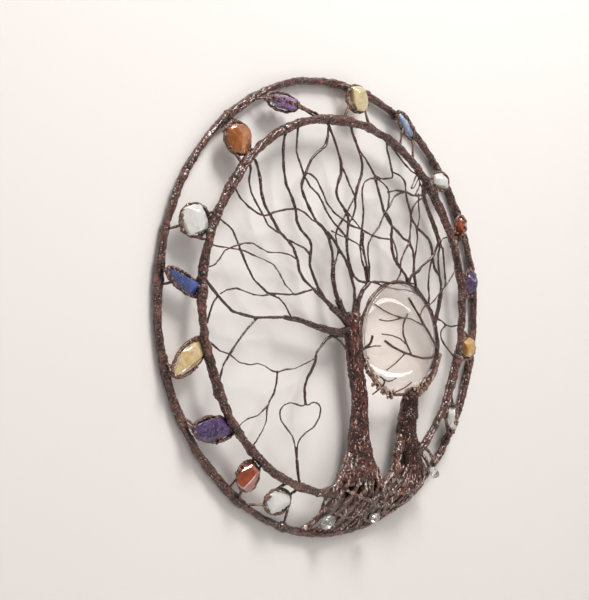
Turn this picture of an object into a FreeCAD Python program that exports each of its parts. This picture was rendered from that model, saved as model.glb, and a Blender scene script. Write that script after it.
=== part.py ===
"""Tree of life wall hanging: two clay coated hoops, two trees, a glass moon and a ring of stones.

The hoops stand upright in the XZ plane and the wall is behind them, at +Y. Everything is drawn round the
centre of the outer hoop, and every limb by its bend points in the plane of the trees. At the end the whole
work is lowered, so that the origin is where a nail holds the outer hoop from below.
"""

import FreeCAD, Part
import math
import os

os.makedirs("parts", exist_ok=True)
doc = FreeCAD.newDocument("TreeOfLife")

# ---------------------------------------------------------------- driving dimensions, millimetres

SIZES = {
    "outer_hoop": 147.5,        # centre line radius of the outer hoop
    "inner_hoop": 121.7,        # centre line radius of the inner hoop
    "inner_forward": 10.0,      # how far the inner hoop stands in front of the outer one
    "tree_forward": 9.0,        # how far the plane of the trees stands in front of the outer hoop
    "stone_forward": 7.0,       # how far the stones' middles stand in front of the outer hoop
    "hoop_wire": 2.0,           # diameter of the steel wire inside both hoops
    "outer_clay": 4.6,          # diameter of the clay on the outer hoop
    "inner_clay": 4.8,          # diameter of the clay on the inner hoop
    "outer_vine": 2.4,          # diameter of the strand wound round the outer hoop
    "inner_vine": 2.8,          # diameter of the strand wound round the inner hoop
    "outer_vine_offset": 2.3,   # how far that strand's middle runs from the hoop's middle
    "inner_vine_offset": 2.6,
    "armature_wire": 1.5,       # diameter of one wire of a trunk's bundle
    "bole": 4.6,                # diameter of the boughs where they leave a trunk
    "bough": 3.2,
    "branch": 2.1,
    "twig": 1.6,
    "sprig": 1.3,
    "moon_east": 55.0,          # centre of the moon
    "moon_up": -20.5,
    "moon_width": 74.0,         # diameter of the glass
    "moon_girdle": 2.5,         # straight edge of the glass
    "moon_dome": 10.0,          # rise of the dome over the girdle
    "bezel_wire": 2.2,          # wire round the moon's rim
    "bezel_bead": 5.0,          # beaded clay on the lower right of the rim
    "cup_wire": 1.9,            # wire round each stone's waist
    "cup_tie": 1.6,             # wires from a stone's cup to the hoops
}

# Each stone: size along, across and through, and the place of its middle round the hoops.
# name: (length, width, thickness, angle round the hoops, radius of the place, tilt of the length)
STONES = {
    "citrine_top": (17.0, 15.5, 9.0, 83.4, 139.0, 0.0),
    "blade_northeast": (20.0, 8.0, 6.0, 62.9, 142.0, -47.0),
    "quartz_northeast": (15.5, 10.5, 8.0, 41.7, 136.7, -5.0),
    "carnelian_east": (15.5, 9.5, 8.0, 25.6, 137.5, 80.0),
    "amethyst_east": (16.5, 12.0, 9.0, 8.4, 136.0, 75.0),
    "citrine_east": (14.0, 12.0, 8.0, -11.1, 134.5, 80.0),
    "quartz_southeast": (19.0, 9.0, 8.0, -34.0, 136.5, 84.0),
    "quartz_south": (20.0, 13.0, 8.0, 245.1, 135.6, 8.0),
    "carnelian_south": (16.0, 14.5, 9.0, 232.3, 134.0, 60.0),
    "amethyst_southwest": (30.0, 12.5, 8.0, 215.0, 134.0, -2.0),
    "citrine_west": (29.0, 12.5, 8.0, 194.8, 133.4, 42.0),
    "kyanite_west": (28.0, 7.5, 5.0, 175.7, 133.4, -28.0),
    "quartz_west": (20.5, 17.5, 9.0, 159.4, 133.5, 10.0),
    "carnelian_northwest": (19.0, 17.5, 9.0, 132.3, 135.0, -20.0),
    "amethyst_northwest": (25.0, 9.0, 9.0, 112.7, 137.6, -3.0),
}

# Ties of each cup: the place on the stone's rim, then the hoop and the angle that the tie runs to.
TIES = {
    "citrine_top": [(215, "inner", 90), (320, "inner", 78), (40, "outer", 77), (130, "outer", 90)],
    "blade_northeast": [(0, "inner", 55.5), (180, "outer", 65.5), (120, "inner", 63)],
    "quartz_northeast": [(180, "inner", 43), (250, "inner", 38), (20, "outer", 40), (80, "outer", 45)],
    "carnelian_east": [(20, "outer", 29), (180, "inner", 20), (250, "inner", 27), (140, "inner", 23)],
    "amethyst_east": [(10, "outer", 13), (180, "inner", 3), (60, "inner", 13), (200, "outer", 4)],
    "citrine_east": [(10, "inner", -6), (180, "outer", -16), (100, "inner", -11), (200, "inner", -17)],
    "quartz_southeast": [(0, "inner", -26), (30, "outer", -29), (170, "outer", -38), (200, "inner", -36)],
    "quartz_south": [(15, "inner", 251), (110, "inner", 246), (180, "outer", 237), (330, "outer", 252)],
    "carnelian_south": [(0, "inner", 228), (300, "inner", 233), (180, "outer", 235), (120, "outer", 231)],
    "amethyst_southwest": [(0, "inner", 220), (20, "inner", 217), (180, "outer", 209), (160, "outer", 207)],
    "citrine_west": [(10, "inner", 191), (45, "inner", 190), (180, "outer", 197), (150, "outer", 194)],
    "kyanite_west": [(0, "inner", 180), (60, "inner", 171), (180, "outer", 173), (240, "outer", 177)],
    "quartz_west": [(20, "inner", 154), (330, "inner", 157), (190, "outer", 164), (240, "inner", 163)],
    "carnelian_northwest": [(100, "outer", 129), (280, "inner", 137), (310, "inner", 133),
                            (340, "inner", 129)],
    "amethyst_northwest": [(180, "outer", 120.5), (0, "inner", 101), (10, "inner", 98)],
}

# Trunk sections from the crown down: height, east, width, depth.
LEFT_TRUNK = [
    (-5, 9.6, 9.5, 8.0),
    (-14, 9.4, 11.8, 8.6),
    (-24, 9.8, 10.6, 8.6),
    (-36, 11.2, 10.0, 8.8),
    (-48, 13.4, 10.0, 9.0),
    (-60, 15.8, 10.4, 9.2),
    (-70, 15.5, 10.5, 9.5),
    (-80, 15.0, 12.5, 11.0),
    (-90, 15.5, 16.0, 12.5),
    (-102, 15.0, 23.0, 14.0),
    (-114, 13.0, 33.0, 15.0),
]
RIGHT_TRUNK = [
    (-54, 67.0, 8.0, 8.0),
    (-61, 66.0, 10.0, 9.5),
    (-71, 64.5, 12.0, 11.0),
    (-81, 62.5, 13.5, 12.0),
    (-91, 63.5, 14.0, 12.5),
    (-101, 65.5, 15.5, 13.5),
    (-112, 67.0, 21.0, 14.5),
]

# Limbs: node, then (thickness, forward step, bend points east and up). A positive forward step puts a
# limb in front of the plane of the trees where it crosses another.
LIMBS = {
    "west_bough": [
        ("bole", 0, [(8, -15), (-4, -17), (-14, -16), (-22, -14)]),
        ("bough", 0, [(-18, -15), (-30, -12), (-42, -9.6), (-54, -8.6)]),
        ("branch", 0, [(-50, -8.6), (-62, -9), (-78, -9.5), (-88, -8), (-97, -6), (-103, -1.5), (-109, 3.5),
                       (-114, 8), (-120, 14)]),
        ("twig", 1.5, [(0, -20), (-14, -18.5), (-28, -15), (-40, -11.5), (-52, -10)]),
        ("twig", 0, [(-108, 3), (-112, -1), (-114.5, -7), (-117, -14)]),
        ("twig", 0, [(-76, -9.5), (-84, -16), (-91, -23), (-98, -31), (-104, -38.5),
                     (-106.5, -46), (-107.5, -56)]),
    ],
    "west_sprigs": [
        ("sprig", 0.5, [(-107, 4), (-102, 6.5), (-94, 8), (-88, 6.5), (-80, 4.5), (-73, 4), (-66, 5),
                        (-58, 3),
                        (-53, -1), (-48, -8)]),
        ("twig", 0, [(-26, 10), (-35, 8), (-42, 6), (-50, 5.5), (-60, 5.8), (-67, 5.5), (-72, 9), (-79, 13.5),
                     (-85, 22), (-91, 33), (-97, 43.5), (-104, 47.5), (-110, 51)]),
        ("sprig", 1, [(-41, 27), (-49, 30.5), (-57, 31.5), (-68, 31), (-75, 33.5), (-81, 36), (-88, 35.5),
                      (-97, 33), (-104, 30), (-108, 25), (-112, 21), (-119, 19)]),
        ("sprig", -0.6, [(-44, 6), (-52, 12), (-57, 19), (-62, 24), (-70, 26.5), (-78, 28.5), (-86, 31),
                         (-97, 32), (-108, 32.5), (-117, 34)]),
    ],
    "northwest_bough": [
        ("bole", 0, [(6, -13), (-3, -5.5), (-11, -1)]),
        ("bough", 0, [(-8, -2.5), (-18, 4), (-26, 9.5)]),
        ("branch", 0, [(-22, 7), (-29, 11), (-36, 15.5), (-40, 21), (-41.5, 28), (-45, 35), (-50, 39.5),
                       (-58, 45), (-64, 53), (-70, 60), (-73, 68), (-74, 77), (-77, 86), (-83, 92)]),
        ("branch", 0.8, [(-16, 2.5), (-24, 11), (-28, 18), (-31.5, 25), (-31, 31), (-29.5, 37), (-32, 41.5),
                         (-39, 46.5), (-43, 52), (-44, 60), (-48, 68), (-52.5, 75), (-54.5, 85), (-55, 96),
                         (-54, 104), (-51, 110)]),
        ("twig", 0, [(-30.5, 32), (-35, 35.5), (-42, 37.5), (-51, 40.5)]),
        ("twig", 0.6, [(-86, 90), (-82, 82), (-84, 74), (-82, 67), (-77, 60), (-72, 54), (-68, 48), (-62, 45),
                       (-55, 43)]),
    ],
    "north_bough": [
        ("bole", 0, [(5, -11), (-1, -3.5), (-4.5, 4)]),
        ("bough", 0, [(-3.5, 2), (-7.5, 10), (-9.5, 18), (-9, 27)]),
        ("branch", 0, [(-9, 25), (-10, 35), (-13, 43), (-18, 49), (-25, 53.5), (-30, 60), (-36, 69),
                       (-38.5, 75), (-36, 80), (-33, 86), (-29, 93), (-23, 98.5), (-16, 103), (-14, 109),
                       (-13, 118)]),
        ("twig", -0.8, [(-8.5, 24), (-5, 31), (-3, 36), (-5, 41), (-6, 46), (-4, 51), (2, 58), (8, 66),
                        (12, 72)]),
        ("branch", 0.8, [(9, -10), (10.5, 3), (10, 12), (7, 19), (4, 26), (1, 31), (-4, 36), (-9, 42),
                         (-15, 47.5)]),
        ("twig", 0.5, [(-97, 71), (-91, 63), (-84, 58), (-76, 54.5), (-70, 53.5), (-62, 56.5), (-52, 59),
                       (-42, 60), (-35, 58), (-29, 54), (-21, 51.5), (-14, 46.5)]),
    ],
    "crown_limbs": [
        ("branch", 0, [(25, 16), (16, 16.5), (10, 20), (6, 28), (4, 36), (3.5, 45)]),
        ("branch", 0, [(3.5, 42), (5, 52), (5.5, 58), (1, 64), (-4, 68.5), (-6.5, 74), (-4.5, 80), (-1.5, 86),
                       (-1.5, 94), (-5, 102), (-9, 110), (-14, 118), (-20, 121)]),
        ("twig", 0.9, [(3.5, 44), (-3, 49), (-10, 54), (-16, 60), (-20, 66), (-24, 71), (-31, 75), (-36, 81),
                       (-40, 89), (-43.5, 96), (-43, 103), (-42, 112)]),
        ("twig", 0.9, [(-37, 83), (-31, 83.5), (-25, 80), (-20, 73), (-16, 66), (-9, 60), (0, 56), (8, 52.5),
                       (17, 51), (26, 48), (34, 46.5), (47, 46)]),
        ("twig", -0.6, [(-1.5, 92), (3, 87), (7, 80), (12, 73), (13, 66), (10.5, 59), (5, 53)]),
        ("branch", 0, [(7, 122), (9, 115), (13, 108), (17, 101), (19, 94), (18, 87), (14, 79), (12, 71)]),
        ("twig", 0, [(14, 105), (22, 98.5), (27, 93), (31, 88), (38, 86.5), (45, 87.5), (50, 88.5), (48, 94),
                     (46, 101), (43.5, 107), (43, 115)]),
        ("sprig", 0.4, [(0, 65), (6, 60), (11, 56), (17, 51)]),
        ("sprig", 1.4, [(-12, 48), (-4, 45.5), (5, 43.5), (12, 41.5), (17, 38), (20, 31), (23, 20)]),
    ],
    "middle_limbs": [
        ("twig", 0, [(36, 86), (27, 86), (21, 83), (18.5, 78), (19, 70), (20, 63), (19, 55), (17.5, 47),
                     (16.5, 39), (18, 31), (21, 25), (23.5, 16)]),
        ("twig", 0.7, [(19, 49), (18.5, 41), (20.5, 33), (22.5, 26), (24, 17)]),
        ("twig", 0, [(25, 16), (25.5, 27), (24, 35), (24.5, 42), (29, 48), (35, 54), (40, 62), (46, 69),
                     (51, 76), (58, 79), (65, 80)]),
        ("sprig", 0.6, [(31, 87), (38, 84), (44, 80.5), (45, 75), (43.5, 68), (41, 62)]),
        ("branch", 0, [(31, 88), (34, 80), (37, 73), (39.5, 66), (42, 62), (47, 56), (54, 52), (60, 47.5),
                       (67, 46)]),
        ("branch", 0.6, [(41, 64), (46, 60), (47.5, 54), (47, 48), (47.5, 40), (50, 33), (56, 27.5), (61, 23),
                         (66, 16)]),
        ("twig", 0, [(46.5, 50), (51, 43), (53.5, 37), (53, 29)]),
    ],
    "moon_side_bough": [
        ("bole", 3, [(74.5, -52.5), (84, -43.5), (90, -33), (91, -22.8), (88.3, -11.7), (84, -2.2),
                     (76.5, 6.3), (68, 13.9)]),
        ("bough", 0, [(71, 10.5), (66, 15), (63.5, 21)]),
        ("branch", 0, [(75, 7), (72.5, 17), (70.5, 25), (71, 34), (70, 40), (65, 46.5)]),
        ("twig", 0, [(71, 31), (73.5, 42), (74.8, 50), (73.5, 57), (69, 61), (67, 67), (64, 74), (62.5, 81),
                     (62, 87), (57, 90.5), (48, 92.5)]),
        ("twig", 0.5, [(66.5, 46), (61, 39.5), (57, 33), (56, 29), (57, 24.5), (52, 18)]),
        ("branch", 0.8, [(64.5, 16), (67, 23), (74, 25.5), (79, 30), (86, 34), (92, 39), (95, 45), (98, 50)]),
        ("twig", 0, [(66, 44), (67, 53), (68, 60), (67, 68)]),
    ],
    "east_limbs": [
        ("bough", 0, [(92, -11), (94.5, -5), (97, 2), (99.5, 12)]),
        ("branch", 0, [(98.5, 7), (100, 18), (98, 24), (93, 28.5), (90.5, 36), (90, 43), (87, 49), (81, 52.5),
                       (74, 56)]),
        ("twig", 0, [(85, -2), (87, 9), (86, 17), (87, 26), (90.5, 37)]),
        ("sprig", 0.9, [(84, 1.5), (91, 6), (97, 11.5), (103, 16), (108, 21), (116, 30)]),
        ("twig", 0, [(99.5, 20), (97, 31), (97, 39), (99, 45), (102, 43.5), (103, 36), (104, 26), (105, 18),
                     (100, 12)]),
        ("sprig", 0, [(98, 45), (102, 50.5), (109, 52), (114, 54)]),
        ("twig", 0, [(90, -9), (95, -6), (100, -7.5), (105, -10.5), (111, -11.5), (121, -10)]),
        ("twig", 0, [(105, -10.5), (99.5, -14.5), (99, -19), (103, -24), (109, -29), (117, -35)]),
    ],
    "northeast_limbs": [
        ("bough", 0, [(82, 88), (81, 79), (85, 71), (90, 63), (94, 56), (97, 50), (99, 44)]),
        ("twig", 0, [(83, 79), (74, 74), (70, 70), (67.5, 63)]),
        ("sprig", 0.5, [(75.5, 80), (75.5, 71), (76.5, 64), (74, 55)]),
        ("twig", 0, [(42, 115), (52, 106.5), (60, 100), (68, 95), (74, 93), (80, 97)]),
        ("sprig", 0.4, [(75, 95), (71, 88), (67, 82), (71, 83.5), (76, 91)]),
        ("sprig", 0, [(77, 93), (77, 85), (72, 78)]),
        ("sprig", 0.6, [(74, 93), (78, 86), (82, 79)]),
        ("twig", 0, [(44, 78), (53, 80.2), (63, 80), (70, 78), (77, 78.5), (84, 81)]),
    ],
    "southwest_limbs": [
        ("branch", 0, [(4, -20), (-9, -19.5), (-15, -21.5), (-20, -26), (-25, -31), (-25.5, -36), (-29, -42),
                       (-33, -47), (-35.5, -53), (-35, -59), (-34.3, -64)]),
        ("twig", 0.7, [(-10, -20.2), (-3, -23), (2, -28), (6, -37)]),
        ("sprig", 0, [(-119, -22), (-113, -26), (-107, -30), (-99, -32), (-91, -37), (-82, -38.5),
                      (-76, -37.5),
                      (-70, -39), (-64, -42), (-59, -43), (-52, -41.3), (-44, -40.8), (-34, -37.5),
                      (-25, -34)]),
        ("sprig", 0, [(-59, -42), (-60, -50), (-62, -56), (-66, -61), (-68, -66), (-68.5, -73), (-72, -79),
                      (-77, -85), (-82, -90)]),
        ("sprig", 0.3, [(-66.5, -62.5), (-71, -66), (-76, -69.5), (-84, -71), (-89, -73.5), (-96, -79)]),
    ],
    "heart_wire": [
        ("sprig", 0, [(-34.3, -63.5), (-38, -64.5), (-43, -63), (-48, -62), (-54, -63.5), (-57.5, -67.5),
                      (-56, -73), (-51, -78), (-46, -83), (-44, -88), (-43, -94), (-42, -100)]),
        ("sprig", 0, [(-34.3, -63.5), (-32, -64), (-28, -62), (-23, -63), (-20.5, -66), (-22, -72),
                      (-27, -78),
                      (-34, -81), (-39, -84.5), (-41.5, -88), (-42, -94), (-42, -100)]),
        ("branch", 0, [(-42, -98), (-41.5, -104), (-40.5, -110), (-38, -118)]),
    ],
    "moon_top_wires": [
        ("twig", 0.5, [(22, 15.5), (30, 17), (40, 17), (50, 16.5), (57, 18), (71, 17)]),
        ("sprig", 0.5, [(25, 17), (36, 15), (44, 13), (52, 12), (60, 12), (66, 11), (73, 8)]),
        ("sprig", 1.5, [(48, 17), (55, 16), (63, 14)]),
        ("bough", 0.5, [(10.5, -10), (12.6, -2), (15, 5), (18.8, 11.3), (25, 16)]),
    ],
}

# Roots: node, then (thickness, bend points east, up and forward of the outer hoop).
ROOTS = {
    "left_roots": [
        (5.0, [(6, -96, 9), (-3, -110, 11), (-12, -118, 11), (-26, -120, 10)]),
        (3.4, [(8, -100, 13), (-1, -115, 14), (-10, -126, 9), (-18, -135, 5), (-28, -143.5, 1)]),
        (2.6, [(-16, -120, 10), (-17, -130, 7), (-21, -138, 4), (-31, -143, 1)]),
        (2.4, [(2, -108, 13), (-5, -121, 13), (-11, -131, 8), (-20, -139, 3), (-25, -144, 1)]),
        (3.2, [(11, -100, 14), (6, -117, 16), (-2, -128, 11), (-8, -137, 6), (-16, -145, 1)]),
        (2.4, [(10, -110, 15), (3, -123, 14), (-4, -133, 9), (-12, -141, 4), (-20, -144.5, 1)]),
        (3.4, [(14, -100, 14), (12, -119, 17), (4, -131, 11), (-2, -140, 5), (-7, -146, 1)]),
        (2.4, [(13, -112, 16), (9, -125, 15), (1, -135, 9), (-5, -142, 4), (-11.5, -145.5, 1)]),
        (3.2, [(19, -100, 14), (18, -120, 17), (14, -132, 11), (8, -141, 5), (2, -147, 1)]),
        (2.4, [(17, -112, 16), (14, -126, 14), (9, -136, 8), (4, -143, 4), (-2, -146.5, 1)]),
        (3.2, [(23, -100, 13), (26, -117, 16), (24, -129, 11), (20, -139, 6), (16, -146, 1)]),
        (2.4, [(21, -110, 15), (22, -125, 14), (18, -136, 8), (13, -143, 4), (8, -146.5, 1)]),
        (3.0, [(25, -98, 10), (31, -114, 14), (31, -126, 11), (29, -136, 6), (33, -143.5, 1)]),
        (2.2, [(24, -110, 15), (28, -122, 14), (26, -133, 9), (24, -140, 5), (23, -145.5, 1)]),
        (3.0, [(20, -102, 14), (30, -119, 16), (38, -129, 10), (45, -138, 4), (53, -138, 1)]),
        (2.2, [(27, -110, 14), (33, -122, 13), (36, -132, 8), (39, -139, 4), (43, -141, 1)]),
        (2.8, [(24, -96, 9), (33, -112, 11), (41, -121, 12), (50, -128, 8), (61, -134.5, 1)]),
        (2.8, [(-4, -116, 13), (8, -126, 13), (18, -134, 9), (26, -141, 4), (36, -143, 1)]),
        (2.2, [(-3, -119, 14), (6, -123, 17), (17, -127, 17), (29, -124, 14)]),
        (2.0, [(-15, -132, 7), (-6, -134, 10), (4, -138, 8), (14, -136, 9), (24, -136, 8)]),
    ],
    "right_roots": [
        (6.8, [(58, -86, 9), (52, -97, 10), (49, -106, 11), (46, -113, 11), (38, -118.5, 11),
               (27, -120, 10)]),
        (3.0, [(60, -106, 13), (50, -118, 13), (39, -127, 10), (28, -135, 6), (19, -145.5, 1)]),
        (2.4, [(61, -108, 14), (54, -119, 14), (44, -129, 9), (35, -137, 5), (27, -144.5, 1)]),
        (3.0, [(62, -106, 14), (56, -118, 15), (48, -128, 10), (40, -137, 5), (34, -143.5, 1)]),
        (2.4, [(64, -106, 14), (59, -120, 15), (52, -131, 9), (46, -137, 5), (40, -141.5, 1)]),
        (3.2, [(65, -104, 14), (62, -118, 15), (58, -128, 10), (54, -136, 5), (47, -140, 1)]),
        (2.4, [(67, -106, 14), (66, -120, 14), (63, -130, 8), (59, -135, 4), (53.5, -137.5, 1)]),
        (3.0, [(68, -100, 13), (70, -117, 14), (69, -126, 9), (66, -132, 4), (60, -135, 1)]),
        (2.2, [(70, -104, 12), (74, -117, 12), (73, -126, 7), (70, -130, 4), (65.5, -132.5, 1)]),
        (2.8, [(71, -98, 10), (77, -112, 12), (78, -120, 9), (77, -127, 3), (70, -130, 1)]),
        (2.2, [(72, -98, 10), (79, -108, 11), (83, -115, 7), (82, -120, 4), (78, -125, 1)]),
        (2.6, [(70, -92, 9), (80, -103, 11), (86, -109, 9), (90, -114, 5), (86, -120, 1)]),
        (2.4, [(70, -89, 9), (82, -97, 11), (91, -102, 8), (99, -107, 3), (106, -102, 1)]),
        (2.6, [(45, -113, 12), (56, -122, 14), (66, -127, 10), (77, -126, 1)]),
        (2.0, [(41, -122, 12), (52, -125, 13), (62, -122, 16), (73, -119, 13), (82, -117, 7)]),
        (2.0, [(33, -132, 8), (44, -133, 8), (54, -132, 8), (64, -130, 8), (74, -127, 6)]),
    ],
}

# Claw wires on the front of the moon: thickness and bend points east and up.
CLAWS = [
    (1.9, [(92, -30), (80, -33.5), (66, -34), (55, -32.5), (45, -30), (36, -26.5), (30, -22.5)]),
    (1.5, [(53, -31.5), (48, -25), (44.5, -18), (45, -12), (48, -7), (51, -4)]),
    (1.9, [(91, -28), (82, -24), (73, -17), (66, -11), (62, -5), (58, 1), (55, 7)]),
    (1.2, [(67, -12), (60, -10), (53, -7.5), (45, -7), (37, -5), (31, -2), (26, 2)]),
    (1.2, [(46, -7), (39, -8.5), (33, -9.5), (27, -8.5)]),
    (1.2, [(63, -6), (68, -1), (76, 3), (82, 2)]),
    (1.9, [(13, -31), (18.5, -28), (21, -24), (22, -19)]),
    (1.2, [(18, -28.3), (23, -26), (28, -26)]),
    (1.2, [(28, -18), (36, -19), (42, -21), (47, -24.5)]),
    (1.2, [(34, -42), (40, -37.5), (47, -31)]),
    (1.4, [(20, -41), (26, -45), (32, -46.5), (36, -50), (33, -55), (27, -58)]),
    (1.2, [(30, -46), (39, -50), (44, -47)]),
    (1.3, [(46, -58), (54, -54), (60, -50)]),
]

# ---------------------------------------------------------------- the spreadsheet

sheet = doc.addObject("Spreadsheet::Sheet", "Sizes")
row = 0


def add_cell(alias, value):
    """Put one driving dimension in the next row of the sheet."""
    global row
    row += 1
    sheet.set("A%d" % row, alias)
    sheet.set("B%d" % row, str(value))
    sheet.setAlias("B%d" % row, alias)


for alias, value in SIZES.items():
    add_cell(alias, value)
for stone, (long_side, wide_side, thick_side, around, reach, tilt) in STONES.items():
    add_cell(stone + "_long", long_side)
    add_cell(stone + "_wide", wide_side)
    add_cell(stone + "_thick", thick_side)
doc.recompute()


def size(alias):
    """One driving dimension, in millimetres."""
    return float(sheet.get(alias))


# ---------------------------------------------------------------- shapes

UPRIGHT = FreeCAD.Rotation(FreeCAD.Vector(1, 0, 0), 90)     # turns a flat shape to face the front
BEND = 6.0                                                  # bend radius of a wire, where there is room
BODIES = []                                                 # the sub-parts, in the order they are made


def keep(thing, label):
    """Name one sub-part and list it for writing."""
    thing.Label = label
    BODIES.append(thing)
    return thing


def feature(label, shape):
    """A sub-part whose shape is worked out in code."""
    thing = doc.addObject("Part::Feature", label)
    thing.Shape = shape
    thing.Placement = FreeCAD.Placement()
    return keep(thing, label)


def bend_edges(before, corner, after, bend):
    """Start, arc and end of one rounded corner."""
    back = before - corner
    ahead = after - corner
    room = 0.45 * min(back.Length, ahead.Length)
    back.normalize()
    ahead.normalize()
    half = back.getAngle(ahead) / 2.0
    if half > math.radians(89.5):
        return corner, None, corner
    reach = min(bend / math.tan(half), room)
    radius = reach * math.tan(half)
    inward = (back + ahead).normalize()
    middle = corner + inward * (radius / math.sin(half) - radius)
    start = corner + back * reach
    end = corner + ahead * reach
    return start, Part.Arc(start, middle, end).toShape(), end


def rounded_path(points, closed=False, bend=BEND):
    """Straight runs joined by tangent arcs through the bend points."""
    count = len(points)
    inner = range(count) if closed else range(1, count - 1)
    corners = [bend_edges(points[i - 1], points[i], points[(i + 1) % count], bend) for i in inner]
    edges = []
    here = corners[-1][2] if closed else points[0]
    for start, arc, end in corners:
        if (start - here).Length > 1e-6:
            edges.append(Part.LineSegment(here, start).toShape())
        if arc:
            edges.append(arc)
        here = end
    if not closed:
        edges.append(Part.LineSegment(here, points[-1]).toShape())
    return Part.Wire(edges)


def tube(points, thickness, closed=False, bend=BEND):
    """A round wire of one thickness along a rounded path."""
    path = rounded_path(points, closed, bend)
    first = path.Edges[0]
    start = first.valueAt(first.FirstParameter)
    direction = first.tangentAt(first.FirstParameter)
    profile = Part.Wire([Part.Circle(start, direction, thickness / 2.0).toShape()])
    return path.makePipeShell([profile], True, False)


def joined(solids):
    """Fuse limbs that grow into each other."""
    if len(solids) == 1:
        return solids[0]
    return solids[0].multiFuse(solids[1:])


def on_hoop(radius_alias, forward, degrees):
    """A point on a hoop's centre line."""
    turn = math.radians(degrees)
    radius = size(radius_alias)
    return FreeCAD.Vector(radius * math.cos(turn), -forward, radius * math.sin(turn))


def hoop_point(which, degrees):
    """A point on the middle of the outer or the inner hoop."""
    if which == "outer":
        return on_hoop("outer_hoop", 0.0, degrees)
    return on_hoop("inner_hoop", size("inner_forward"), degrees)


# ---------------------------------------------------------------- hoops

def torus(name, radius_rule, tube_rule, forward_rule):
    """An upright ring bound to the sheet."""
    ring = doc.addObject("Part::Torus", name)
    ring.setExpression("Radius1", radius_rule)
    ring.setExpression("Radius2", tube_rule)
    ring.Placement = FreeCAD.Placement(FreeCAD.Vector(0, 0, 0), UPRIGHT)
    ring.setExpression(".Placement.Base.y", forward_rule)
    return ring


def make_hoop(which, forward_rule):
    """The steel hoop and the clay round it."""
    radius_rule = "Sizes.%s_hoop" % which
    wire = torus(which + "_hoop_wire", radius_rule, "Sizes.hoop_wire / 2", forward_rule)
    keep(wire, which + "_hoop_wire")
    outside = torus(which + "_clay_outside", radius_rule, "Sizes.%s_clay / 2" % which, forward_rule)
    inside = torus(which + "_clay_inside", radius_rule, "Sizes.hoop_wire / 2", forward_rule)
    clay = doc.addObject("Part::Cut", which + "_hoop_clay")
    clay.Base = outside
    clay.Tool = inside
    keep(clay, which + "_hoop_clay")


BUTT = 0.9995                           # share of the full turn, so that a strand's ends stay apart


def make_vine(which, forward, turns, steps_per_turn=6):
    """The second strand, wound round a hoop like a long helix, with its two ends butted together."""
    points = []
    radius = size(which + "_hoop")
    offset = size(which + "_vine_offset")
    steps = turns * steps_per_turn
    for step in range(steps + 1):
        around = 2.0 * math.pi * step / steps * BUTT
        wind = 2.0 * math.pi * step / steps_per_turn
        reach = radius + offset * math.cos(wind)
        points.append(FreeCAD.Vector(reach * math.cos(around), -forward - offset * math.sin(wind),
                                     reach * math.sin(around)))
    feature(which + "_hoop_vine", tube(points, size(which + "_vine"), bend=60.0))


make_hoop("outer", "0")
make_hoop("inner", "-Sizes.inner_forward")
make_vine("outer", 0.0, 7)
make_vine("inner", size("inner_forward"), 6)

# ---------------------------------------------------------------- trunks

ARMATURE_TURNS = 6                      # wires round the middle wire of a trunk's bundle


def trunk_point(section):
    """Middle of one trunk section."""
    up, east, width, depth = section
    return FreeCAD.Vector(east, -size("tree_forward"), up)


def make_trunk(name, sections, first, last):
    """A trunk's wire bundle and the clay modelled over it."""
    wire = size("armature_wire")
    middles = [trunk_point(section) for section in sections[first:last + 1]]
    wires = [tube(middles, wire)]
    for turn in range(ARMATURE_TURNS):
        angle = 2.0 * math.pi * turn / ARMATURE_TURNS
        aside = FreeCAD.Vector(math.cos(angle), math.sin(angle), 0) * (wire * 1.1)
        wires.append(tube([middle + aside for middle in middles], wire))
    feature(name + "_armature", Part.Compound(wires))
    rims = []
    for section in sections:
        up, east, width, depth = section
        centre = trunk_point(section)
        rim = Part.Ellipse(FreeCAD.Vector(0, 0, 0), max(width, depth) / 2.0, min(width,
                           depth) / 2.0).toShape()
        rim.translate(centre)
        rims.append(Part.Wire([rim]))
    bark = Part.makeLoft(rims, True, False)
    room = FreeCAD.Vector(0, 0, 0.8)
    hollow = tube([middles[0] + room] + middles[1:-1] + [middles[-1] - room], wire * 3.4)
    feature(name + "_clay", bark.cut(hollow))


make_trunk("left_trunk", LEFT_TRUNK, 3, 8)
make_trunk("right_trunk", RIGHT_TRUNK, 1, 5)

# ---------------------------------------------------------------- limbs and roots


def make_limbs(name, runs):
    """One group of limbs in the plane of the trees."""
    solids = []
    for thickness, forward, places in runs:
        depth = -size("tree_forward") - forward
        points = [FreeCAD.Vector(east, depth, up) for east, up in places]
        solids.append(tube(points, size(thickness)))
    feature(name, joined(solids))


def make_roots(name, runs):
    """One tree's roots, from the trunk over the inner hoop to the outer hoop."""
    solids = []
    for thickness, places in runs:
        points = [FreeCAD.Vector(east, -forward, up) for east, up, forward in places]
        solids.append(tube(points, thickness))
    feature(name, joined(solids))


for name, runs in LIMBS.items():
    make_limbs(name, runs)
for name, runs in ROOTS.items():
    make_roots(name, runs)

# ---------------------------------------------------------------- moon

CUP_START = -82.0                       # the beaded part of the rim runs from here
CUP_SWEEP = 68.0                        # for this many degrees


def moon_base():
    """Back face centre of the moon."""
    return FreeCAD.Vector(size("moon_east"), -size("tree_forward"), size("moon_up"))


def dome_height(east, up):
    """How far the glass stands out in front of its back face at one place."""
    half = size("moon_width") / 2.0
    rise = size("moon_dome")
    ball = (half * half + rise * rise) / (2.0 * rise)
    away = math.hypot(east - size("moon_east"), up - size("moon_up"))
    if away >= half:
        return 0.0
    return size("moon_girdle") + math.sqrt(ball * ball - away * away) - (ball - rise)


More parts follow.
